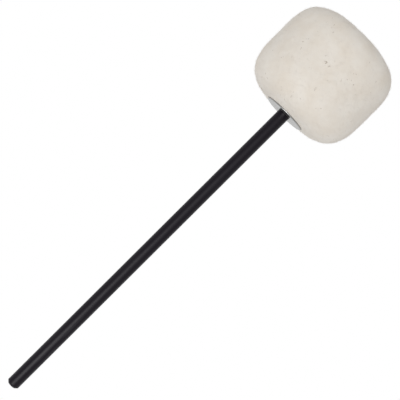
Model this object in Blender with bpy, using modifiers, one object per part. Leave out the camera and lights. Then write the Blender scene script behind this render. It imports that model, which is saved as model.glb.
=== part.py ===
"""Bass drum beater: a pressed felt head clamped on a steel rod.

The rod's upper end is turned down to a stud. The stud runs up through the head, and a lock nut in a pocket
in the head's top pulls the felt down on a thin washer, which rests on the rod's shoulder.

Frame: +Z runs up the rod towards the head. The origin is the centre of the rod's lower end face.
Lengths are in metres. Run it with: blender --background --python part.py
"""

import math

import bmesh
import bpy

MM = 0.001

# Clearances
SEAT_GAP = 0.3 * MM             # between pieces that touch
INSERT_GAP = 0.2 * MM           # round the nylon ring in the nut

# Rod
ROD_DIAMETER = 6.35 * MM        # quarter-inch bar
ROD_LENGTH = 180.0 * MM         # lower end face to the shoulder
ROD_END_CHAMFER = 1.1 * MM
ROD_EDGE_ROUND = 0.2 * MM
STUD_DIAMETER = 5.0 * MM
STUD_END_CHAMFER = 0.6 * MM
STUD_ABOVE_NUT = 1.5 * MM

# Washers
LOWER_WASHER_DIAMETER = 21.4 * MM
LOWER_WASHER_THICKNESS = 0.8 * MM
LOWER_WASHER_ROUND = 0.35 * MM
UPPER_WASHER_THICKNESS = 1.2 * MM
UPPER_WASHER_ROUND = 0.2 * MM

# Felt head: above and below its widest ring the outline is a squared oval
HEAD_DIAMETER = 58.5 * MM
HEAD_ABOVE_WIDEST = 23.6 * MM
HEAD_BELOW_WIDEST = 26.6 * MM
HEAD_SQUARENESS = 3.7           # 2 is a plain oval, and more fills its corners
WASHER_BITE = 0.4 * MM          # how far the lower washer is pressed into the felt
BITE_ROUND = 0.3 * MM
POCKET_DEPTH = 14.0 * MM
POCKET_MOUTH_ROUND = 1.5 * MM
SOCKET_ROOM = 3.4 * MM          # beside the nut, for the wall of a socket wrench
POCKET_WASHER_GAP = 0.4 * MM    # beside the upper washer

# Lock nut, from the thread outwards and from its seat upwards
INSERT_WALL = 0.65 * MM
INSERT_HEIGHT = 1.0 * MM
COLLAR_WALL = 0.35 * MM
COLLAR_LIP = 0.4 * MM           # metal rolled over the insert's top
LIP_OVERLAP = 0.2 * MM
COLLAR_INSET = 0.1 * MM         # from the nut's flats to its collar
HEXAGON_HEIGHT = 3.2 * MM
NUT_CHAMFER_ANGLE = math.radians(30)
INSERT_ROUND = 0.2 * MM

# Facets
HEAD_SIDES = 72
HEAD_ARC_STEPS = 14             # along the outline, above and below the widest ring
WASHER_SIDES = 64
SMALL_SIDES = 48
ROUND_STEPS = 3

# Radii that follow
rod_radius = ROD_DIAMETER / 2
stud_radius = STUD_DIAMETER / 2
stud_hole_radius = stud_radius + SEAT_GAP
lower_washer_radius = LOWER_WASHER_DIAMETER / 2
head_radius = HEAD_DIAMETER / 2
washer_seat_radius = lower_washer_radius + SEAT_GAP
insert_inner_radius = stud_radius + INSERT_GAP
insert_outer_radius = insert_inner_radius + INSERT_WALL
groove_radius = insert_outer_radius + INSERT_GAP
collar_radius = groove_radius + COLLAR_WALL
nut_flat_radius = collar_radius + COLLAR_INSET
nut_corner_radius = nut_flat_radius / math.cos(math.radians(30))
pocket_radius = nut_corner_radius + SOCKET_ROOM
upper_washer_radius = pocket_radius - POCKET_WASHER_GAP

# Heights that follow, from the rod's lower end face
lower_washer_z = ROD_LENGTH + SEAT_GAP
lower_washer_top = lower_washer_z + LOWER_WASHER_THICKNESS
washer_seat_z = lower_washer_top + SEAT_GAP
head_underside_z = lower_washer_top - WASHER_BITE
head_widest_z = head_underside_z + HEAD_BELOW_WIDEST
head_top_z = head_widest_z + HEAD_ABOVE_WIDEST
pocket_floor_z = head_top_z - POCKET_DEPTH
upper_washer_z = pocket_floor_z + SEAT_GAP
nut_z = upper_washer_z + UPPER_WASHER_THICKNESS + SEAT_GAP
insert_z = nut_z + HEXAGON_HEIGHT + INSERT_GAP
groove_height = INSERT_HEIGHT + 2 * INSERT_GAP
nut_height = HEXAGON_HEIGHT + groove_height + COLLAR_LIP
stud_end_z = nut_z + nut_height + STUD_ABOVE_NUT


def clear_scene():
    """Removes whatever the start-up file holds."""
    for obj in list(bpy.data.objects):
        bpy.data.objects.remove(obj, do_unlink=True)


def new_collection(name):
    """A collection of this name, linked to the scene."""
    collection = bpy.data.collections.new(name)
    bpy.context.scene.collection.children.link(collection)
    return collection


def new_material(name, color, roughness, metallic=0.0):
    """A Principled material of one colour."""
    material = bpy.data.materials.new(name)
    material.use_nodes = True
    shader = material.node_tree.nodes["Principled BSDF"]
    shader.inputs["Base Color"].default_value = (*color, 1.0)
    shader.inputs["Roughness"].default_value = roughness
    shader.inputs["Metallic"].default_value = metallic
    material.diffuse_color = (*color, 1.0)
    return material


def arc(centre, radius, start, end, steps):
    """Points along an arc in the (radius, height) plane, its angles in degrees from outward."""
    points = []
    for step in range(steps + 1):
        angle = math.radians(start + (end - start) * step / steps)
        points.append((centre[0] + radius * math.cos(angle), centre[1] + radius * math.sin(angle)))
    return points


def ring_profile(outer, inner, height, edge):
    """The closed section of a flat ring that stands on height 0, with its outer edges rounded."""
    edge = min(edge, 0.45 * height)
    centre = outer - edge
    return (
        arc((centre, height - edge), edge, 90, 0, ROUND_STEPS)
        + arc((centre, edge), edge, 0, -90, ROUND_STEPS)
        + [(inner, 0.0), (inner, height)]
    )


def turn(name, profile, closed, sides, collection):
    """Turns a profile of (radius, height) points, which runs down its outer side, round the Z axis."""
    mesh = bpy.data.meshes.new(name)
    sketch = bmesh.new()
    points = [sketch.verts.new((radius, 0.0, height)) for radius, height in profile]
    for start, end in zip(points, points[1:]):
        sketch.edges.new((start, end))
    if closed:
        sketch.edges.new((points[-1], points[0]))
    sketch.to_mesh(mesh)
    sketch.free()
    obj = bpy.data.objects.new(name, mesh)
    collection.objects.link(obj)
    screw = obj.modifiers.new("Turn", 'SCREW')
    screw.axis = 'Z'
    screw.angle = math.tau
    screw.steps = sides
    screw.render_steps = sides
    screw.use_merge_vertices = True
    screw.merge_threshold = 0.00001
    return obj


def finish(obj, material, height, parent, sharp_angle=30):
    """Applies the modifiers, shades the round faces smooth, and places the piece on the axis at its height."""
    evaluated = obj.evaluated_get(bpy.context.evaluated_depsgraph_get())
    mesh = bpy.data.meshes.new_from_object(evaluated)
    obj.modifiers.clear()
    obj.data = mesh
    mesh.name = obj.name
    mesh.shade_smooth()
    mesh.set_sharp_from_angle(angle=math.radians(sharp_angle))
    mesh.materials.clear()
    mesh.materials.append(material)
    obj.location = (0.0, 0.0, height)
    obj.parent = parent
    return obj


def make_shaft(collection):
    """The rod with its chamfered lower end, its shoulder and the stud above it."""
    chamfer_edge = rod_radius - ROD_END_CHAMFER
    profile = [
        (0.0, stud_end_z),
        (stud_radius - STUD_END_CHAMFER, stud_end_z),
        (stud_radius, stud_end_z - STUD_END_CHAMFER),
        (stud_radius, ROD_LENGTH),
    ]
    profile += arc((rod_radius - ROD_EDGE_ROUND, ROD_LENGTH - ROD_EDGE_ROUND), ROD_EDGE_ROUND, 90, 0, ROUND_STEPS)
    profile += [
        (rod_radius, ROD_END_CHAMFER),
        (chamfer_edge, 0.0),
        (0.0, 0.0),
    ]
    return turn("shaft", profile, False, SMALL_SIDES, collection)


def make_lower_washer(collection):
    """The thin washer with a rounded rim that shows under the head."""
    profile = ring_profile(lower_washer_radius, stud_hole_radius, LOWER_WASHER_THICKNESS, LOWER_WASHER_ROUND)
    return turn("lower_washer", profile, True, WASHER_SIDES, collection)


def make_upper_washer(collection):
    """The washer at the bottom of the pocket, under the nut."""
    profile = ring_profile(upper_washer_radius, stud_hole_radius, UPPER_WASHER_THICKNESS, UPPER_WASHER_ROUND)
    return turn("upper_washer", profile, True, SMALL_SIDES, collection)


def squared_oval(reach, start, end, steps):
    """Points of the head's outline about its widest ring.

    The angles run from 0 at the axis to 90 at the widest ring, and reach is how far the outline goes up or,
    if it is negative, down.
    """
    points = []
    for step in range(steps + 1):
        angle = math.radians(start + (end - start) * step / steps)
        across = math.sin(angle)
        along = math.cos(angle)
        scale = (across**HEAD_SQUARENESS + along**HEAD_SQUARENESS) ** (-1 / HEAD_SQUARENESS)
        points.append((head_radius * scale * across, reach * scale * along))
    return points


def oval_angle(radius):
    """The angle at which the head's outline reaches this radius, from 0 at the axis to 90 at the widest ring."""
    across = min(radius / head_radius, 1.0)
    along = (1 - across**HEAD_SQUARENESS) ** (1 / HEAD_SQUARENESS)
    return math.degrees(math.atan2(across, along))


def make_felt_head(collection):
    """The head: a squared oval with a bore, a nut pocket in its top and the washer's dent in its underside.

    Its own origin is at the height of its widest ring.
    """
    mouth_radius = pocket_radius + POCKET_MOUTH_ROUND
    dent_edge_radius = washer_seat_radius + BITE_ROUND
    above = squared_oval(HEAD_ABOVE_WIDEST, oval_angle(mouth_radius), 90, HEAD_ARC_STEPS)
    below = squared_oval(-HEAD_BELOW_WIDEST, 90, oval_angle(dent_edge_radius), HEAD_ARC_STEPS)
    mouth_z = above[0][1]
    dent_edge_z = below[-1][1]
    seat = washer_seat_z - head_widest_z
    floor = pocket_floor_z - head_widest_z
    profile = above + below[1:]
    profile += arc((dent_edge_radius, dent_edge_z + BITE_ROUND), BITE_ROUND, -90, -180, ROUND_STEPS)[1:]
    profile += [
        (washer_seat_radius, seat),
        (stud_hole_radius, seat),
        (stud_hole_radius, floor),
        (pocket_radius, floor),
    ]
    profile += arc((mouth_radius, mouth_z - POCKET_MOUTH_ROUND), POCKET_MOUTH_ROUND, 180, 90, ROUND_STEPS + 1)[:-1]
    return turn("felt_head", profile, True, HEAD_SIDES, collection)


def make_lock_nut(collection):
    """A hexagon bar turned to the nut's form: chamfered corners, a bore, and a collar rolled over a groove."""
    past_corner = nut_corner_radius + COLLAR_WALL
    chamfer_height = (past_corner - collar_radius) * math.tan(NUT_CHAMFER_ANGLE)
    lip_radius = insert_outer_radius - LIP_OVERLAP
    profile = [
        (collar_radius - COLLAR_INSET, nut_height),
        (collar_radius, nut_height - COLLAR_LIP),
        (collar_radius, HEXAGON_HEIGHT),
        (past_corner, HEXAGON_HEIGHT - chamfer_height),
        (past_corner, chamfer_height),
        (collar_radius, 0.0),
        (stud_hole_radius, 0.0),
        (stud_hole_radius, HEXAGON_HEIGHT),
        (groove_radius, HEXAGON_HEIGHT),
        (groove_radius, HEXAGON_HEIGHT + groove_height),
        (lip_radius, HEXAGON_HEIGHT + groove_height),
        (lip_radius, nut_height),
    ]
    turned_form = turn("nut_turned_form", profile, True, SMALL_SIDES, collection)

    bar = bmesh.new()
    bmesh.ops.create_cone(
        bar, cap_ends=True, segments=6, radius1=nut_corner_radius, radius2=nut_corner_radius, depth=2 * nut_height
    )
    bmesh.ops.translate(bar, verts=bar.verts, vec=(0.0, 0.0, nut_height / 2))
    mesh = bpy.data.meshes.new("lock_nut")
    bar.to_mesh(mesh)
    bar.free()
    nut = bpy.data.objects.new("lock_nut", mesh)
    collection.objects.link(nut)
    common = nut.modifiers.new("Turned form", 'BOOLEAN')
    common.operation = 'INTERSECT'
    common.object = turned_form
    return nut, turned_form


def make_nut_insert(collection):
    """The nylon ring in the nut's collar."""
    profile = ring_profile(insert_outer_radius, insert_inner_radius, INSERT_HEIGHT, INSERT_ROUND)
    return turn("nut_insert", profile, True, SMALL_SIDES, collection)


def main():
    """Builds the beater, piece by piece from the rod up."""
    clear_scene()
    parts = new_collection("bass_drum_beater")

    black = new_material("black_steel", (0.016, 0.013, 0.018), 0.38, 0.3)
    zinc = new_material("zinc_steel", (0.62, 0.62, 0.61), 0.32, 1.0)
    felt = new_material("felt", (0.80, 0.74, 0.66), 0.95)
    nylon = new_material("nylon", (0.72, 0.74, 0.74), 0.45)

    beater = bpy.data.objects.new("beater", None)
    parts.objects.link(beater)

    finish(make_shaft(parts), black, 0.0, beater)
    finish(make_lower_washer(parts), zinc, lower_washer_z, beater)
    finish(make_felt_head(parts), felt, head_widest_z, beater)
    finish(make_upper_washer(parts), zinc, upper_washer_z, beater)
    nut, turned_form = make_lock_nut(parts)
    finish(nut, zinc, nut_z, beater)
    bpy.data.objects.remove(turned_form, do_unlink=True)
    finish(make_nut_insert(parts), nylon, insert_z, beater)


main()
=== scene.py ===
"""Looks of the bass drum beater: felt, steel, zinc plate and nylon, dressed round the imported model.

Every length is in metres, in the model's own frame: +Z runs up the rod towards the head.
"""

import logging
import math
from dataclasses import dataclass, field
from enum import Enum
from typing import Callable, Iterable

import bpy
import numpy as np
from mathutils import Matrix, Vector, noise


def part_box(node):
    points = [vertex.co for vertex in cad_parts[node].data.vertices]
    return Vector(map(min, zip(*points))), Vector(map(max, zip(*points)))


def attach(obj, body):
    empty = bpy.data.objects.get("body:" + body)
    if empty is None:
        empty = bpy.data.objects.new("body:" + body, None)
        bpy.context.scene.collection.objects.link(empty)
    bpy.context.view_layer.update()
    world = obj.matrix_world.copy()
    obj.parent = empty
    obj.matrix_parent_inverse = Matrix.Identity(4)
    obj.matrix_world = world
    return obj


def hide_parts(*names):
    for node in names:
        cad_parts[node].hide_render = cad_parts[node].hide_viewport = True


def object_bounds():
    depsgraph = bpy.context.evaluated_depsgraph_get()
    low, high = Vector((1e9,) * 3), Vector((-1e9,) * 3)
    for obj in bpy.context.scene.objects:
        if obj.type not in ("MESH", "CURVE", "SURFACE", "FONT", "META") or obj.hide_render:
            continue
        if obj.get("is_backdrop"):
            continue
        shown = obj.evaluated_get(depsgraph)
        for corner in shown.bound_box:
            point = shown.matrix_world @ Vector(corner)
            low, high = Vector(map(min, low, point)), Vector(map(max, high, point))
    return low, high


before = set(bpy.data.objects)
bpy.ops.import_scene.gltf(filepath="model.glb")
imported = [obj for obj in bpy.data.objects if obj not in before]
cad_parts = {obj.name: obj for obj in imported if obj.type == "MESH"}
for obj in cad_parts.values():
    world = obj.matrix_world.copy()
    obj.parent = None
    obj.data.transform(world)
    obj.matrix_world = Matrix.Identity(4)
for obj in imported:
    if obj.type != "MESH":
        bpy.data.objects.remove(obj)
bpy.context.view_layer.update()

MM = 0.001
BODY = "root"
SEED = 20

Radius = float | Callable[[float], float]
Row = tuple[Radius, float]
Colour = tuple[float, float, float]

log = logging.getLogger("beater")


class Slot(Enum):
    """The record's material slots."""

    BLACK_STEEL = "black_steel"
    ZINC_STEEL = "zinc_steel"
    FELT = "felt"
    NYLON = "nylon"


class Graph:
    """A node tree that is filled in line by line."""

    def __init__(self, tree: bpy.types.NodeTree) -> None:
        """Wraps the tree."""
        self.tree = tree

    def add(self, kind: str, values: dict | None = None, **settings: object) -> bpy.types.Node:
        """Adds a node.

        Args:
            kind: The node's type name.
            values: What each input socket holds, a value or the output socket it is linked from.
            settings: The node's own settings.

        Returns:
            The new node.
        """
        node = self.tree.nodes.new(kind)
        for name, setting in settings.items():
            setattr(node, name, setting)
        for name, value in (values or {}).items():
            if isinstance(value, bpy.types.NodeSocket):
                self.tree.links.new(value, node.inputs[name])
            else:
                node.inputs[name].default_value = value
        return node

    def math(self, operation: str, *values: object) -> bpy.types.NodeSocket:
        """The result of a Math node on these values or sockets."""
        return self.add("ShaderNodeMath", dict(enumerate(values)), operation=operation).outputs[0]

    def noise(self, place: bpy.types.NodeSocket, scale: float, detail: float = 3.0) -> bpy.types.NodeSocket:
        """The value of a noise of this scale, in cells a metre, at a place."""
        values = {"Vector": place, "Scale": scale, "Detail": detail}
        return self.add("ShaderNodeTexNoise", values).outputs["Fac"]

    def spread(self, value: object, low: float, high: float) -> bpy.types.NodeSocket:
        """The value stretched so that low becomes 0 and high becomes 1, and held there."""
        values = {"Value": value, "From Min": low, "From Max": high}
        return self.add("ShaderNodeMapRange", values, clamp=True).outputs["Result"]

    def blend(self, share: object, first: object, second: object) -> bpy.types.NodeSocket:
        """A colour between two colours.

        Args:
            share: How much of the second colour there is, a value or a socket.
            first: The first colour, or its socket.
            second: The second colour, or its socket.

        Returns:
            The blended colour's socket.
        """
        node = self.add("ShaderNodeMix", data_type="RGBA")
        for place, value in ((0, share), (6, first), (7, second)):
            if isinstance(value, bpy.types.NodeSocket):
                self.tree.links.new(value, node.inputs[place])
            else:
                node.inputs[place].default_value = (*value, 1.0) if isinstance(value, tuple) else value
        return node.outputs[2]

    def place(self) -> bpy.types.NodeSocket:
        """The point's place in the model's frame."""
        return self.add("ShaderNodeTexCoord").outputs["Object"]


class Effects:
    """The shader groups that several finishes use, each built once. Scales are in cells a metre."""

    WARP_SCALE = 260.0
    WARP_REACH = 0.012
    RIDGE_SHARPNESS = 5.0
    STRAND_STRETCHES = ((1.0, 0.16, 1.0), (0.16, 1.0, 0.5), (1.0, 1.0, 0.14))
    SPECK_SCALE = 260.0
    SPECK_PATCHES = 95.0
    CLOUD_SCALE = 70.0

    def __init__(self) -> None:
        """Builds the groups."""
        self.fibres = self._fibres()
        self.scuffs = self._scuffs()
        self.turning = self._turning()

    @staticmethod
    def _group(
        name: str, inputs: dict[str, float], outputs: Iterable[str]
    ) -> tuple[Graph, dict, bpy.types.Node]:
        """Starts a group.

        Args:
            name: The group's name.
            inputs: Each input's name and value.
            outputs: The names of the outputs, all values.

        Returns:
            The graph, the input sockets by name, and the output node.
        """
        tree = bpy.data.node_groups.new(name, "ShaderNodeTree")
        for label, value in inputs.items():
            socket = tree.interface.new_socket(label, in_out="INPUT", socket_type="NodeSocketFloat")
            socket.default_value = value
        for label in outputs:
            tree.interface.new_socket(label, in_out="OUTPUT", socket_type="NodeSocketFloat")
        source = tree.nodes.new("NodeGroupInput")
        sockets = {label: source.outputs[label] for label in inputs}
        return Graph(tree), sockets, tree.nodes.new("NodeGroupOutput")

    def _fibres(self) -> bpy.types.NodeTree:
        """Matted fibres: broad mottling, fine strands, rare specks and their height.

        Returns:
            The group.
        """
        graph, sockets, out = self._group(
            "felt_fibres",
            {"Mottle Scale": 110.0, "Strand Scale": 900.0},
            ("Mottle", "Strands", "Specks", "Height"),
        )
        place = graph.place()
        warp = graph.add("ShaderNodeTexNoise", {"Vector": place, "Scale": self.WARP_SCALE, "Detail": 2.0})
        reach = (self.WARP_REACH,) * 3
        bent = graph.add("ShaderNodeVectorMath", {0: warp.outputs["Color"], 1: reach}, operation="MULTIPLY")
        moved = graph.add("ShaderNodeVectorMath", {0: place, 1: bent.outputs[0]}, operation="ADD").outputs[0]
        mottle = graph.add(
            "ShaderNodeTexNoise", {"Vector": place, "Scale": sockets["Mottle Scale"], "Detail": 4.0}
        ).outputs["Fac"]
        strands = []
        for stretch in self.STRAND_STRETCHES:
            drawn = graph.add("ShaderNodeVectorMath", {0: moved, 1: stretch}, operation="MULTIPLY").outputs[0]
            strands.append(
                graph.add(
                    "ShaderNodeTexNoise", {"Vector": drawn, "Scale": sockets["Strand Scale"], "Detail": 3.0}
                ).outputs["Fac"]
            )
        ridges = []
        for strand in strands:
            off_ridge = graph.math("ABSOLUTE", graph.math("SUBTRACT", strand, 0.5))
            fallen = graph.math("MULTIPLY", off_ridge, self.RIDGE_SHARPNESS)
            ridges.append(graph.math("SUBTRACT", 1.0, fallen))
        top = graph.math("MAXIMUM", graph.math("MAXIMUM", ridges[0], ridges[1]), ridges[2])
        cells = graph.add("ShaderNodeTexVoronoi", {"Vector": moved, "Scale": self.SPECK_SCALE})
        rare = graph.spread(graph.noise(place, self.SPECK_PATCHES, 1.0), 0.54, 0.60)
        specks = graph.math("MULTIPLY", graph.spread(cells.outputs["Distance"], 0.16, 0.06), rare)
        height = graph.math("ADD", graph.math("MULTIPLY", top, 0.6), graph.math("MULTIPLY", mottle, 1.2))
        for label, value in (("Mottle", mottle), ("Strands", top), ("Specks", specks), ("Height", height)):
            graph.tree.links.new(value, out.inputs[label])
        return graph.tree

    def _scuffs(self) -> bpy.types.NodeTree:
        """Fine handling marks: a mask of scratches and a cloudy unevenness.

        Returns:
            The group.
        """
        inputs = {"Scale": 400.0, "Amount": 0.5}
        graph, sockets, out = self._group("handling_marks", inputs, ("Scratches", "Cloud"))
        place = graph.place()
        long_way = graph.add("ShaderNodeVectorMath", {0: place, 1: (1.0, 1.0, 0.06)}, operation="MULTIPLY")
        lines = graph.add(
            "ShaderNodeTexNoise", {"Vector": long_way.outputs[0], "Scale": sockets["Scale"], "Detail": 6.0}
        ).outputs["Fac"]
        mask = graph.math("MULTIPLY", graph.spread(lines, 0.60, 0.74), sockets["Amount"])
        graph.tree.links.new(mask, out.inputs["Scratches"])
        graph.tree.links.new(graph.noise(place, self.CLOUD_SCALE, 4.0), out.inputs["Cloud"])
        return graph.tree

    def _turning(self) -> bpy.types.NodeTree:
        """Fine rings round the axis, as a lathe or a press tool leaves them.

        Returns:
            The group.
        """
        graph, sockets, out = self._group("turning_rings", {"Rings": 9000.0}, ("Height",))
        parts = graph.add("ShaderNodeSeparateXYZ", {0: graph.place()}).outputs
        squares = [graph.math("MULTIPLY", part, part) for part in (parts[0], parts[1])]
        radius = graph.math("SQRT", graph.math("ADD", squares[0], squares[1]))
        line = graph.add("ShaderNodeCombineXYZ", {0: radius, 1: parts[2]}).outputs[0]
        rings = graph.add("ShaderNodeTexNoise", {"Vector": line, "Scale": sockets["Rings"], "Detail": 2.0})
        graph.tree.links.new(rings.outputs["Fac"], out.inputs["Height"])
        return graph.tree


@dataclass(frozen=True)
class Finish:
    """A surface finish with its plain values."""

    name: str
    slot: Slot
    colour: Colour
    roughness: float
    metallic: float = 0.0
    specular: float = 0.5

    def start(self) -> tuple[bpy.types.Material, Graph, bpy.types.Node]:
        """Starts the material from the plain values.

        Returns:
            The material, its graph and its shader.
        """
        material = bpy.data.materials.new(self.name)
        material.use_nodes = True
        shader = material.node_tree.nodes["Principled BSDF"]
        shader.inputs["Base Color"].default_value = (*self.colour, 1.0)
        shader.inputs["Roughness"].default_value = self.roughness
        shader.inputs["Metallic"].default_value = self.metallic
        shader.inputs["Specular IOR Level"].default_value = self.specular
        return material, Graph(material.node_tree), shader

    @staticmethod
    def relief(graph: Graph, shader: bpy.types.Node, height: bpy.types.NodeSocket, depth: float) -> None:
        """Feeds a height, in parts of the depth, to the shader's normal."""
        bump = graph.add("ShaderNodeBump", {"Height": height, "Distance": depth, "Strength": 1.0})
        graph.tree.links.new(bump.outputs["Normal"], shader.inputs["Normal"])

    def material(self, effects: Effects) -> bpy.types.Material:
        """The finished material."""
        raise NotImplementedError


@dataclass(frozen=True)
class Felt(Finish):
    """Hard pressed wool, off-white and softly mottled."""

    warm: Colour = (0.80, 0.72, 0.62)
    speck: Colour = (0.34, 0.27, 0.20)
    speck_share: float = 0.75
    between_strands: float = 0.90
    sheen: float = 0.25
    sheen_roughness: float = 0.6
    depth: float = 0.12 * MM

    def material(self, effects: Effects) -> bpy.types.Material:
        """Mottled, matted wool with a slight sheen.

        Args:
            effects: The shader groups.

        Returns:
            The material.
        """
        material, graph, shader = self.start()
        fibres = graph.add("ShaderNodeGroup", node_tree=effects.fibres).outputs
        base = graph.blend(graph.spread(fibres["Mottle"], 0.36, 0.66), self.colour, self.warm)
        dim = tuple(self.between_strands * part for part in self.colour)
        base = graph.blend(graph.spread(fibres["Strands"], 0.7, -0.3), base, dim)
        base = graph.blend(graph.math("MULTIPLY", fibres["Specks"], self.speck_share), base, self.speck)
        graph.tree.links.new(base, shader.inputs["Base Color"])
        shader.inputs["Sheen Weight"].default_value = self.sheen
        shader.inputs["Sheen Roughness"].default_value = self.sheen_roughness
        self.relief(graph, shader, fibres["Height"], self.depth)
        return material


@dataclass(frozen=True)
class BlackSteel(Finish):
    """Semi-gloss black coating, a little rubbed where the pedal's hub holds it."""

    rubbed: Colour = (0.10, 0.10, 0.11)
    rubbed_top: float = 75 * MM
    wear: float = 0.08
    more_at_the_end: float = 0.35
    unevenness: float = 0.16
    rougher_where_worn: float = 0.2
    depth: float = 0.004 * MM

    def material(self, effects: Effects) -> bpy.types.Material:
        """Black coating with handling marks, denser near the lower end.

        Args:
            effects: The shader groups.

        Returns:
            The material.
        """
        material, graph, shader = self.start()
        marks = graph.add("ShaderNodeGroup", {"Amount": 0.8}, node_tree=effects.scuffs).outputs
        height = graph.add("ShaderNodeSeparateXYZ", {0: graph.place()}).outputs[2]
        low = graph.spread(height, self.rubbed_top, 0.0)
        worn = graph.math("ADD", graph.math("MULTIPLY", low, self.more_at_the_end), self.wear)
        mask = graph.math("MULTIPLY", marks["Scratches"], worn)
        graph.tree.links.new(graph.blend(mask, self.colour, self.rubbed), shader.inputs["Base Color"])
        uneven = graph.math("MULTIPLY", graph.math("SUBTRACT", marks["Cloud"], 0.5), self.unevenness)
        rough = graph.math("ADD", uneven, self.roughness)
        rough = graph.math("ADD", rough, graph.math("MULTIPLY", mask, self.rougher_where_worn))
        graph.tree.links.new(rough, shader.inputs["Roughness"])
        self.relief(graph, shader, marks["Scratches"], self.depth)
        return material


@dataclass(frozen=True)
class ZincSteel(Finish):
    """Bright zinc plate over turned or pressed steel."""

    dull: Colour = (0.50, 0.50, 0.49)
    unevenness: float = 0.25
    depth: float = 0.003 * MM

    def material(self, effects: Effects) -> bpy.types.Material:
        """Plated metal with fine rings and a faint cloudiness.

        Args:
            effects: The shader groups.

        Returns:
            The material.
        """
        material, graph, shader = self.start()
        marks = graph.add("ShaderNodeGroup", {"Scale": 1500.0}, node_tree=effects.scuffs).outputs
        rings = graph.add("ShaderNodeGroup", node_tree=effects.turning).outputs["Height"]
        cloud = graph.spread(marks["Cloud"], 0.35, 0.7)
        graph.tree.links.new(graph.blend(cloud, self.colour, self.dull), shader.inputs["Base Color"])
        uneven = graph.math("MULTIPLY", graph.math("SUBTRACT", rings, 0.5), self.unevenness)
        graph.tree.links.new(graph.math("ADD", uneven, self.roughness), shader.inputs["Roughness"])
        self.relief(graph, shader, rings, self.depth)
        return material


@dataclass(frozen=True)
class Nylon(Finish):
    """Natural nylon, satin and slightly uneven."""

    cloud_shade: float = 0.86
    unevenness: float = 0.2
    depth: float = 0.01 * MM

    def material(self, effects: Effects) -> bpy.types.Material:
        """Milky plastic with a soft unevenness.

        Args:
            effects: The shader groups.

        Returns:
            The material.
        """
        material, graph, shader = self.start()
        marks = graph.add("ShaderNodeGroup", {"Scale": 900.0}, node_tree=effects.scuffs).outputs
        shade = tuple(self.cloud_shade * part for part in self.colour)
        graph.tree.links.new(graph.blend(marks["Cloud"], self.colour, shade), shader.inputs["Base Color"])
        uneven = graph.math("MULTIPLY", marks["Cloud"], self.unevenness)
        rough = graph.math("ADD", uneven, self.roughness - self.unevenness / 2)
        graph.tree.links.new(rough, shader.inputs["Roughness"])
        self.relief(graph, shader, marks["Cloud"], self.depth)
        return material


FELT = Felt(
    "beater_felt", Slot.FELT, (0.84, 0.79, 0.72), 0.95, specular=0.2, warm=(0.80, 0.735, 0.65)
)
NAP = Felt(
    "beater_nap",
    Slot.FELT,
    (0.88, 0.84, 0.78),
    0.9,
    specular=0.2,
    warm=(0.84, 0.78, 0.70),
    speck_share=0.0,
)
KEMP = Felt(
    "beater_kemp",
    Slot.FELT,
    (0.30, 0.25, 0.20),
    0.9,
    specular=0.2,
    warm=(0.22, 0.18, 0.14),
    speck_share=0.0,
)
BLACK = BlackSteel("beater_black_steel", Slot.BLACK_STEEL, (0.0085, 0.0060, 0.0110), 0.36, specular=0.3)
ZINC = ZincSteel("beater_zinc", Slot.ZINC_STEEL, (0.66, 0.66, 0.65), 0.24, metallic=1.0)
WHITE_NYLON = Nylon("beater_nylon", Slot.NYLON, (0.74, 0.75, 0.74), 0.42)


def arc(centre: tuple[float, float], radius: float, start: float, end: float, steps: int) -> list[Row]:
    """Points along an arc in the plane of radius and height.

    Args:
        centre: The arc's centre.
        radius: The arc's radius.
        start: The first angle, in degrees from outward.
        end: The last angle.
        steps: How many chords the arc has.

    Returns:
        The rows of the arc.
    """
    angles = [math.radians(start + (end - start) * step / steps) for step in range(steps + 1)]
    return [(centre[0] + radius * math.cos(angle), centre[1] + radius * math.sin(angle)) for angle in angles]


def lathe(name: str, rows: list[Row], sides: int, closed: bool) -> bpy.types.Object:
    """Turns rows round the Z axis.

    Args:
        name: The piece's name.
        rows: Each ring's radius, or a function from the angle to it, and its height, down the outside.
        sides: How many sides each ring has.
        closed: Whether the last row joins the first. If not, both ends are capped by a point on the axis.

    Returns:
        The new piece, in the scene.
    """
    angles = [math.tau * side / sides for side in range(sides)]
    points: list[tuple[float, float, float]] = []
    for radius, height in rows:
        for angle in angles:
            reach = radius(angle) if callable(radius) else radius
            points.append((reach * math.cos(angle), reach * math.sin(angle), height))
    faces: list[tuple[int, ...]] = []
    count = len(rows)
    for row in range(count if closed else count - 1):
        below = (row + 1) % count
        for side in range(sides):
            after = (side + 1) % sides
            near, far = row * sides, below * sides
            faces.append((near + side, far + side, far + after, near + after))
    if not closed:
        for row, turn in ((0, 1), (count - 1, -1)):
            points.append((0.0, 0.0, rows[row][1]))
            for side in range(sides):
                rim = (row * sides + side, row * sides + (side + 1) % sides)[::turn]
                faces.append((len(points) - 1, *rim))
    return solid(name, points, faces)


def solid(name: str, points: Iterable, faces: Iterable, smooth: float = 35.0) -> bpy.types.Object:
    """A piece from points and faces, smooth but for its sharp edges.

    Args:
        name: The piece's name.
        points: Its points.
        faces: Its faces, as numbers of points.
        smooth: The angle in degrees from which an edge is sharp.

    Returns:
        The new piece, in the scene.
    """
    mesh = bpy.data.meshes.new(name)
    mesh.from_pydata(points, [], faces)
    mesh.shade_smooth()
    mesh.set_sharp_from_angle(angle=math.radians(smooth))
    piece = bpy.data.objects.new(name, mesh)
    bpy.context.scene.collection.objects.link(piece)
    return piece


def dress(piece: bpy.types.Object, finish: Finish, effects: Effects, *nodes: str) -> bpy.types.Object:
    """Gives a piece its finish, its body and the nodes that it stands for.

    Args:
        piece: The piece, in place.
        finish: Its finish.
        effects: The shader groups.
        nodes: The model's nodes that it replaces.

    Returns:
        The piece.
    """
    material = bpy.data.materials.get(finish.name) or finish.material(effects)
    piece.data.materials.append(material)
    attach(piece, BODY)
    if nodes:
        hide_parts(*nodes)
    log.info("%s: %d faces, %s", piece.name, len(piece.data.polygons), finish.name)
    return piece


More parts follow.
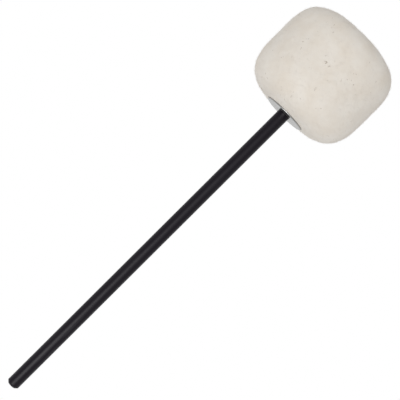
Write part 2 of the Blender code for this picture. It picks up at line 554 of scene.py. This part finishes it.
@dataclass
class Thread:
    """A metric thread on the stud. Its slope and flat shape one turn's section."""

    pitch: float = 0.8 * MM
    depth: float = 0.46 * MM
    flank_steps: int = 8
    slope: float = 2.4
    crest_flat: float = 0.1

    def radius(self, crest: float, height: float, angle: float) -> float:
        """How far the thread reaches from the axis.

        Args:
            crest: The radius at the crest.
            height: The height on the axis.
            angle: The angle round the axis.

        Returns:
            The radius there.
        """
        turn = (height / self.pitch - angle / math.tau) % 1.0
        drop = min(max(abs(turn - 0.5) * self.slope - self.crest_flat, 0.0), 1.0)
        return crest - self.depth * drop


@dataclass
class Rod:
    """The coated rod and the threaded stud above its shoulder."""

    radius: float = 3.175 * MM
    end_chamfer: float = 1.1 * MM
    edge: float = 0.12 * MM
    stud_radius: float = 2.5 * MM
    stud_chamfer: float = 0.6 * MM
    seat: float = 0.02 * MM
    sides: int = 96
    thread: Thread = field(default_factory=Thread)

    def stud_rows(self, top: float, shoulder: float) -> list[Row]:
        """The stud's rows, from its end down to the shoulder.

        Args:
            top: The stud's end.
            shoulder: The height of the shoulder.

        Returns:
            The rows, each with a radius that follows the thread.
        """
        step = self.thread.pitch / self.thread.flank_steps
        rows: list[Row] = [(self.stud_radius - self.stud_chamfer - self.thread.depth / 2, top)]
        for level in range(1, int((top - shoulder) / step)):
            height = top - level * step
            crest = self.stud_radius - max(self.stud_chamfer - (top - height), 0.0)
            rows.append((lambda angle, h=height, c=crest: self.thread.radius(c, h, angle), height))
        return rows + [(self.stud_radius, shoulder)]

    def build(self, effects: Effects) -> bpy.types.Object:
        """Builds and dresses the rod.

        Args:
            effects: The shader groups.

        Returns:
            The rod.
        """
        low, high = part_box("shaft")
        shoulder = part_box("lower_washer")[0].z - self.seat
        edge_centre = (self.radius - self.edge, shoulder - self.edge)
        foot = self.radius - self.end_chamfer
        rows = self.stud_rows(high.z, shoulder)
        rows += arc(edge_centre, self.edge, 90, 0, 4)
        rows += [(self.radius, shoulder * share) for share in (0.75, 0.5, 0.25)]
        rows += [
            (self.radius, low.z + self.end_chamfer + self.edge),
            (self.radius - self.edge / 3, low.z + self.end_chamfer - self.edge / 3),
            (foot + self.edge / 3, low.z + self.edge / 3),
            (foot - self.edge, low.z),
        ]
        return dress(lathe("rod", rows, self.sides, False), BLACK, effects, "shaft")


@dataclass
class Washer:
    """A plated washer with a rolled rim."""

    node: str
    name: str
    bore: float = 2.6 * MM
    rim: float = 0.35 * MM
    ease: float = 0.08 * MM
    sides: int = 180

    def build(self, effects: Effects) -> bpy.types.Object:
        """Builds and dresses the washer.

        Args:
            effects: The shader groups.

        Returns:
            The washer.
        """
        low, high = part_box(self.node)
        radius = high.x
        edge = min(self.rim, 0.45 * (high.z - low.z))
        ease = self.ease
        rows = arc((radius - edge, high.z - edge), edge, 90, 0, 8)
        rows += arc((radius - edge, low.z + edge), edge, 0, -90, 8)
        rows += arc((self.bore + ease, low.z + ease), ease, -90, -180, 3)
        rows += arc((self.bore + ease, high.z - ease), ease, 180, 90, 3)
        return dress(lathe(self.name, rows, self.sides, True), ZINC, effects, self.node)


@dataclass(frozen=True)
class FibreKind:
    """Loose fibres of one kind. Lift is how steeply one rises, as a share of its length."""

    name: str
    count: int
    shortest: float
    longest: float
    width: float
    lift: float


@dataclass
class FeltHead:
    """The pressed felt head with its nap."""

    squareness: float = 3.7
    above: float = 23.6 * MM
    below: float = 26.6 * MM
    bite: float = 0.4 * MM
    seat: float = 0.04 * MM
    dent_round: float = 0.55 * MM
    bore: float = 2.75 * MM
    pocket_radius: float = 8.02 * MM
    pocket_depth: float = 14.0 * MM
    mouth_round: float = 1.5 * MM
    sides: int = 300
    outline_steps: int = 90
    wall_steps: int = 14
    lump: float = 0.16 * MM
    lumps_per_metre: float = 130.0
    fuzz: float = 0.06 * MM
    fuzz_per_metre: float = 1400.0
    nap: FibreKind = FibreKind("felt_nap", 15000, 0.5 * MM, 2.0 * MM, 0.018 * MM, 0.32)
    kemp: FibreKind = FibreKind("felt_kemp", 90, 0.7 * MM, 2.6 * MM, 0.05 * MM, 0.05)

    def __post_init__(self) -> None:
        """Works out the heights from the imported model."""
        low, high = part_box("lower_washer")
        self.radius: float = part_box("felt_head")[1].x
        self.washer_radius = high.x
        self.washer_top = high.z
        self.widest = high.z - self.bite + self.below
        self.floor = self.widest + self.above - self.pocket_depth

    def oval(self, reach: float, start: float, end: float, steps: int) -> list[Row]:
        """Points of the squared oval about the widest ring.

        Args:
            reach: How far the outline goes up or, if negative, down.
            start: The first angle, in degrees from the axis.
            end: The last angle.
            steps: How many chords there are.

        Returns:
            The rows of that stretch.
        """
        rows: list[Row] = []
        power = self.squareness
        for step in range(steps + 1):
            angle = math.radians(start + (end - start) * step / steps)
            across, along = math.sin(angle), max(math.cos(angle), 0.0)
            scale = (across**power + along**power) ** (-1 / power)
            rows.append((self.radius * scale * across, self.widest + reach * scale * along))
        return rows

    def oval_angle(self, radius: float) -> float:
        """The angle, in degrees from the axis, at which the outline reaches a radius."""
        across = radius / self.radius
        return math.degrees(math.atan2(across, (1 - across**self.squareness) ** (1 / self.squareness)))

    def rows(self) -> list[Row]:
        """The head's whole section, down its outside and back up through the bore and the pocket.

        Returns:
            The rows, the last of which joins the first.
        """
        mouth = self.pocket_radius + self.mouth_round
        dent = self.washer_radius + self.seat
        upper = self.oval(self.above, self.oval_angle(mouth), 90, self.outline_steps)
        lower = self.oval(-self.below, 90, self.oval_angle(dent + self.dent_round), self.outline_steps)
        lip = lower[-1][1] + self.dent_round
        ceiling = self.washer_top + self.seat
        rows = upper + lower[1:]
        rows += arc((dent + self.dent_round, lip), self.dent_round, -90, -180, 6)[1:]
        rows += [(dent * share, ceiling) for share in (0.8, 0.6, 0.4)]
        rows += [(self.bore, ceiling), (self.bore, self.floor)]
        step_out = self.pocket_radius - self.bore
        rows += [(self.bore + step_out * share, self.floor) for share in (0.35, 0.7, 1.0)]
        wall_top = upper[0][1] - self.mouth_round
        wall_step = (wall_top - self.floor) / self.wall_steps
        rows += [(self.pocket_radius, self.floor + wall_step * k) for k in range(1, self.wall_steps)]
        return rows + arc((mouth, wall_top), self.mouth_round, 180, 90, 8)[:-1]

    def looseness(self, place: Vector) -> float:
        """How far the felt is free to be uneven.

        Args:
            place: A place on the felt.

        Returns:
            From 0 at the seats to 1.
        """
        across = math.hypot(place.x, place.y)
        if place.z > self.floor + 1.5 * MM:
            return 1.0
        if place.z > self.floor - 1 * MM and across < self.pocket_radius + 0.1 * MM:
            return 0.0
        return min(max((across - self.washer_radius - 0.4 * MM) / (2.5 * MM), 0.0), 1.0)

    def roughen(self, piece: bpy.types.Object) -> None:
        """Moves the points along their normals by a noise that is the same each run, less near the seats.

        Args:
            piece: The felt.
        """
        mesh = piece.data
        normals = [normal.vector.copy() for normal in mesh.vertex_normals]
        places = [vertex.co.copy() for vertex in mesh.vertices]
        for place, normal in zip(places, normals):
            share = self.looseness(place)
            if share > 0.0:
                broad = noise.fractal(place * self.lumps_per_metre, 1.0, 2.0, 3) * self.lump
                fine = noise.noise(place * self.fuzz_per_metre) * self.fuzz
                place += normal * share * (broad + fine - self.fuzz)
        mesh.vertices.foreach_set("co", np.array(places, dtype=np.float32).ravel())
        mesh.update()

    @staticmethod
    def spikes(
        kind: FibreKind, seats: list[tuple[Vector, Vector]], draw: np.random.Generator
    ) -> bpy.types.Object:
        """Thin curved fibres, each a closed three-sided spike that lies along the felt.

        Args:
            kind: The kind of fibre.
            seats: Where each fibre starts, with the felt's normal there.
            draw: The source of the random draws.

        Returns:
            The new piece.
        """
        points: list[Vector] = []
        faces: list[tuple[int, ...]] = []
        for seat, normal in seats:
            turn, size, rise, curl = draw.random(4)
            side = normal.orthogonal().normalized()
            side.rotate(Matrix.Rotation(math.tau * turn, 3, normal))
            across = normal.cross(side)
            reach = kind.shortest + (kind.longest - kind.shortest) * size * size
            start = len(points)
            for step in range(4):
                share = step / 3
                along = side * reach * share + across * reach * (curl - 0.5) * share * share * 1.4
                up = normal * (reach * kind.lift * (0.3 + rise) * math.sin(share * 2.1) - kind.width)
                centre = seat + along + up
                if step == 3:
                    points.append(centre)
                    break
                ring = kind.width * (1.0 - 0.3 * share)
                for corner in range(3):
                    angle = math.tau * corner / 3
                    points.append(centre + (across * math.cos(angle) + normal * math.sin(angle)) * ring)
            faces.append((start, start + 1, start + 2))
            for step in range(2):
                base = start + 3 * step
                for corner in range(3):
                    after = (corner + 1) % 3
                    faces.append((base + corner, base + 3 + corner, base + 3 + after, base + after))
            for corner in range(3):
                faces.append((start + 6 + corner, start + 9, start + 6 + (corner + 1) % 3))
        return solid(kind.name, points, faces, 180.0)

    def seats(
        self, piece: bpy.types.Object, count: int, draw: np.random.Generator
    ) -> list[tuple[Vector, Vector]]:
        """Places on the felt's outside, spread evenly by area.

        Args:
            piece: The felt.
            count: How many places there are.
            draw: The source of the random draws.

        Returns:
            Each place with the felt's normal there.
        """
        faces = [
            face for face in piece.data.polygons
            if self.looseness(face.center) > 0.5
            and math.hypot(face.center.x, face.center.y) > self.pocket_radius * 0.97
        ]
        areas = np.array([face.area for face in faces])
        chosen = draw.choice(len(faces), size=count, p=areas / areas.sum())
        found = []
        for index, (u, v) in zip(chosen, draw.random((count, 2))):
            face = faces[index]
            corners = [piece.data.vertices[number].co for number in face.vertices]
            low = corners[0].lerp(corners[1], u)
            high = corners[3].lerp(corners[2], u)
            found.append((low.lerp(high, v), face.normal.copy()))
        return found

    def build(self, effects: Effects) -> list[bpy.types.Object]:
        """Builds and dresses the head, its nap and its darker coarse fibres.

        Args:
            effects: The shader groups.

        Returns:
            The three pieces.
        """
        head = lathe("felt", self.rows(), self.sides, True)
        head.data.set_sharp_from_angle(angle=math.radians(60.0))
        self.roughen(head)
        draw = np.random.default_rng(SEED)
        nap = self.spikes(self.nap, self.seats(head, self.nap.count, draw), draw)
        kemp = self.spikes(self.kemp, self.seats(head, self.kemp.count, draw), draw)
        dress(head, FELT, effects, "felt_head")
        return [head, dress(nap, NAP, effects), dress(kemp, KEMP, effects)]


@dataclass
class LockNut:
    """The hexagon lock nut with its rolled collar."""

    bore: float = 2.56 * MM
    collar: float = 3.9 * MM
    lip: float = 3.15 * MM
    groove: float = 3.4 * MM
    hexagon: float = 3.2 * MM
    chamfer_angle: float = math.radians(30)
    edge: float = 0.3 * MM
    sides: int = 144

    def flat(self, angle: float) -> float:
        """The hexagon's reach at an angle, with a corner on the Y axis."""
        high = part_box("lock_nut")[1]
        return high.x / math.cos((angle % (math.pi / 3)) - math.pi / 6)

    def build(self, effects: Effects) -> bpy.types.Object:
        """Builds and dresses the nut.

        Args:
            effects: The shader groups.

        Returns:
            The nut.
        """
        low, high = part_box("lock_nut")
        slope = math.tan(self.chamfer_angle)
        corner = high.x / math.cos(math.pi / 6)
        chamfer = (corner - self.collar) * slope
        bottom, shoulder, top = low.z, low.z + self.hexagon, high.z
        levels = [shoulder - chamfer * k / 6 for k in range(7)]
        levels += [bottom + chamfer * k / 6 for k in range(6, -1, -1)]
        rows: list[Row] = arc((self.collar - self.edge, top - self.edge), self.edge, 90, 0, 5)
        rows.append((self.collar, shoulder + 0.02 * MM))
        for height in levels:
            turned = self.collar + min(shoulder - height, height - bottom) / slope
            rows.append((lambda angle, t=turned: min(self.flat(angle), t), height))
        rows += [(self.bore + 0.3 * MM, bottom), (self.bore, bottom + 0.3 * MM), (self.bore, shoulder)]
        rows += [(self.groove, shoulder), (self.groove, top - 0.4 * MM), (self.lip, top - 0.4 * MM)]
        rows.append((self.lip, top - 0.05 * MM))
        rows.append((self.lip + 0.1 * MM, top))
        return dress(lathe("nut", rows, self.sides, True), ZINC, effects, "lock_nut")


@dataclass
class NutInsert:
    """The nylon ring that grips the thread."""

    bore: float = 2.54 * MM
    edge: float = 0.2 * MM
    sides: int = 96

    def build(self, effects: Effects) -> bpy.types.Object:
        """Builds and dresses the ring.

        Args:
            effects: The shader groups.

        Returns:
            The ring.
        """
        low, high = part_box("nut_insert")
        radius = high.x
        rows = arc((radius - self.edge, high.z - self.edge), self.edge, 90, 0, 5)
        rows += arc((radius - self.edge, low.z + self.edge), self.edge, 0, -90, 5)
        rows += arc((self.bore + self.edge, low.z + self.edge), self.edge, -90, -180, 4)
        rows += arc((self.bore + self.edge, high.z - self.edge), self.edge, 180, 90, 4)
        return dress(lathe("nylon_ring", rows, self.sides, True), WHITE_NYLON, effects, "nut_insert")


@dataclass
class Viewpoint:
    """The photograph's camera."""

    lens: float = 99.0
    distance: float = 517.4 * MM
    below_head: float = 56.83 * MM
    aside: float = 0.786 * MM
    rise: float = math.radians(0.8)
    axis_angle: float = math.radians(44.86)

    def build(self) -> bpy.types.Object:
        """Places the camera so that the rod runs up to the right.

        Returns:
            The camera.
        """
        low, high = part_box("lower_washer")
        target = Vector((self.aside, 0.0, (low.z + high.z) / 2 - self.below_head))
        ahead = Vector((0.0, math.cos(self.rise), math.sin(self.rise)))
        along = Vector((0.0, -math.sin(self.rise), math.cos(self.rise)))
        aside = Vector((1.0, 0.0, 0.0))
        right = math.cos(self.axis_angle) * along + math.sin(self.axis_angle) * aside
        up = math.sin(self.axis_angle) * along - math.cos(self.axis_angle) * aside
        data = bpy.data.cameras.new("camera")
        data.lens = self.lens
        data.sensor_width = 36.0
        data.clip_start = 0.01
        camera = bpy.data.objects.new("camera", data)
        bpy.context.scene.collection.objects.link(camera)
        turn = Matrix((right, up, -ahead)).transposed().to_4x4()
        camera.matrix_world = Matrix.Translation(target - ahead * self.distance) @ turn
        bpy.context.scene.camera = camera
        return camera


@dataclass
class Studio:
    """The soft front lamp, the even surroundings and the pale floor.

    Fill and mirror give the level of the surroundings for dull and for shiny surfaces, from 0, the front,
    to 1, the back.
    """

    lamp_distance: float = 0.9
    lamp_size: float = 0.62
    lamp_power: float = 2.6
    lamp_aside: float = math.radians(5.0)
    lamp_below: float = math.radians(25.0)
    floor_drop: float = 0.30
    floor_radius: float = 0.9
    floor_glow: float = 0.38
    floor_colour: Colour = (0.90, 0.90, 0.90)
    fill: tuple[tuple[float, float], ...] = (
        (0.0, 0.74), (0.3, 0.66), (0.6, 0.60), (1.0, 0.72)
    )
    mirror: tuple[tuple[float, float], ...] = (
        (0.0, 0.95), (0.05, 0.60), (0.14, 0.28), (0.30, 0.30), (0.50, 0.50), (0.75, 0.62), (1.0, 0.70)
    )

    def lamp(self) -> None:
        """Hangs the large soft lamp in front, towards the rod's lower end."""
        low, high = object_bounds()
        centre = (low + high) / 2
        away = Vector((
            -math.sin(self.lamp_aside) * math.cos(self.lamp_below),
            -math.cos(self.lamp_aside) * math.cos(self.lamp_below),
            -math.sin(self.lamp_below),
        ))
        data = bpy.data.lights.new("front_lamp", "AREA")
        data.shape = "DISK"
        data.size = self.lamp_size
        data.energy = self.lamp_power
        lamp = bpy.data.objects.new("front_lamp", data)
        lamp.location = centre + away * self.lamp_distance
        lamp.rotation_euler = (-away).to_track_quat("-Z", "Y").to_euler()
        bpy.context.scene.collection.objects.link(lamp)

    @staticmethod
    def ramp(
        graph: Graph, value: bpy.types.NodeSocket, stops: Iterable[tuple[float, float]]
    ) -> bpy.types.NodeSocket:
        """A grey level that follows a value.

        Args:
            graph: The graph.
            value: The value, from 0 to 1.
            stops: Each stop's value and level.

        Returns:
            The level's socket.
        """
        node = graph.add("ShaderNodeValToRGB", {"Fac": value})
        marks = node.color_ramp.elements
        for number, (place, level) in enumerate(stops):
            mark = marks[number] if number < 2 else marks.new(place)
            mark.position = place
            mark.color = (level, level, level, 1.0)
        return node.outputs["Color"]

    def surroundings(self) -> None:
        """White to the camera, and softly graded from front to back for the object."""
        world = bpy.data.worlds.new("studio")
        world.use_nodes = True
        bpy.context.scene.world = world
        graph = Graph(world.node_tree)
        shader = world.node_tree.nodes["Background"]
        way = graph.add("ShaderNodeTexCoord").outputs["Generated"]
        ways = graph.add("ShaderNodeSeparateXYZ", {0: way}).outputs
        depth = graph.spread(ways[1], -1.0, 1.0)
        path = graph.add("ShaderNodeLightPath").outputs
        clear = graph.math("MAXIMUM", path["Is Glossy Ray"], path["Is Transmission Ray"])
        level = graph.blend(clear, self.ramp(graph, depth, self.fill), self.ramp(graph, depth, self.mirror))
        level = graph.blend(path["Is Camera Ray"], level, (1.0, 1.0, 1.0))
        graph.tree.links.new(level, shader.inputs["Color"])

    def floor(self, effects: Effects) -> None:
        """Lays the pale floor below the beater, which takes its shadow and blocks no light.

        Args:
            effects: The shader groups.
        """
        piece = lathe("floor", [(self.floor_radius, 0.0), (self.floor_radius, -0.01)], 96, False)
        piece.location.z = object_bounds()[0].z - self.floor_drop
        material = bpy.data.materials.new("pale_floor")
        material.use_nodes = True
        graph = Graph(material.node_tree)
        shader = material.node_tree.nodes["Principled BSDF"]
        grain = graph.add("ShaderNodeGroup", {"Scale": 30.0}, node_tree=effects.scuffs).outputs["Cloud"]
        shade = tuple(0.97 * part for part in self.floor_colour)
        graph.tree.links.new(graph.blend(grain, self.floor_colour, shade), shader.inputs["Base Color"])
        shader.inputs["Roughness"].default_value = 0.9
        seen = graph.add("ShaderNodeLightPath").outputs["Is Camera Ray"]
        glow = graph.blend(seen, (0.0, 0.0, 0.0), (1.0, 1.0, 1.0))
        graph.tree.links.new(glow, shader.inputs["Emission Color"])
        shader.inputs["Emission Strength"].default_value = self.floor_glow
        piece.data.materials.append(material)
        piece.visible_diffuse = False
        piece.visible_glossy = False
        piece.visible_shadow = False
        piece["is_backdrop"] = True

    def build(self, effects: Effects) -> None:
        """Sets up lamp, surroundings and floor.

        Args:
            effects: The shader groups.
        """
        self.lamp()
        self.surroundings()
        self.floor(effects)
        bpy.context.scene.view_settings.view_transform = "Standard"


def main() -> None:
    """Builds the beater from the rod up, then the studio."""
    logging.basicConfig(level=logging.INFO, format="%(name)s %(message)s")
    effects = Effects()
    Viewpoint().build()
    Rod().build(effects)
    Washer("lower_washer", "washer_under_head").build(effects)
    FeltHead().build(effects)
    Washer("upper_washer", "washer_in_pocket", rim=0.2 * MM).build(effects)
    LockNut().build(effects)
    NutInsert().build(effects)
    Studio().build(effects)


if __name__ == "__main__":
    main()
